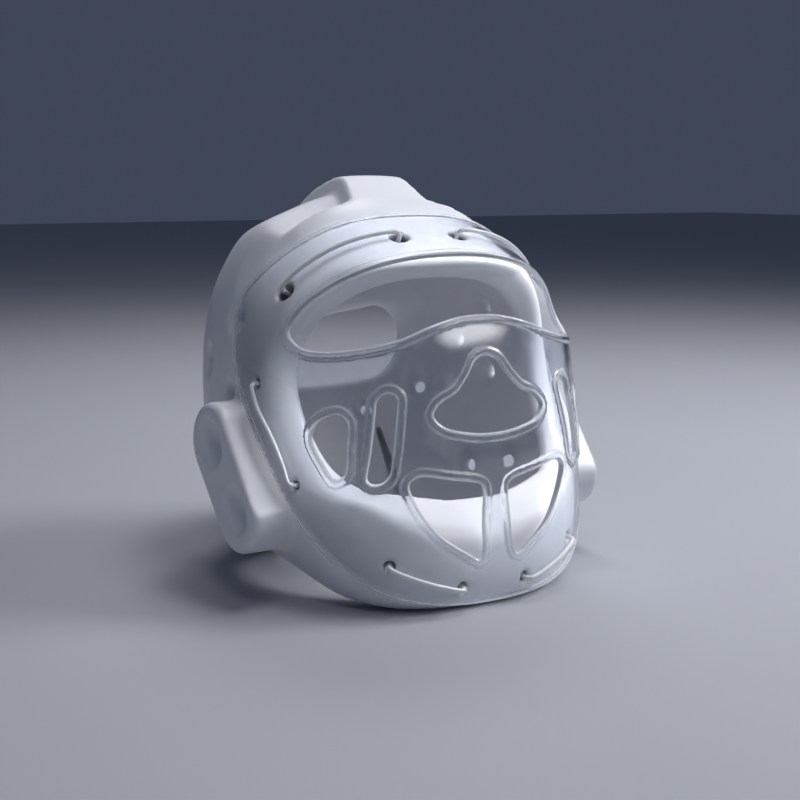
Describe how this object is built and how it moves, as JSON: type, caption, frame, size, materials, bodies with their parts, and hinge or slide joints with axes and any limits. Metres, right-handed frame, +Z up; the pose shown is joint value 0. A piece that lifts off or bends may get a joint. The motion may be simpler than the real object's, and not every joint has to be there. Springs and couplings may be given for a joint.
{
  "type": "karate headgear with face mask",
  "caption": "Padded foam headgear for karate with a crown pad, ear pads, vents and a rear opening, and a clear moulded face mask laced over its face opening.",
  "frame": {"origin": "on the surface that the headgear stands on, under the middle of its box", "axes": "+X to the wearer's left, -Y out of the face, +Z up; the headgear is tipped back 25 degrees from level, so that its chin and nape both stand on z = 0"},
  "size_m": [0.235, 0.2394, 0.2233],
  "materials": {
    "dipped_foam": "satin white vinyl-dipped foam",
    "clear_plastic": "clear polished polycarbonate",
    "lace": "glossy white cord"
  },
  "bodies": {
    "root": {"foam_shell": "dipped_foam", "face_mask": "clear_plastic", "lace_brow_right": "lace", "lace_brow_left": "lace", "lace_cheek_right": "lace", "lace_cheek_left": "lace", "lace_chin_right": "lace", "lace_chin_left": "lace"}
  },
  "joints": []
}
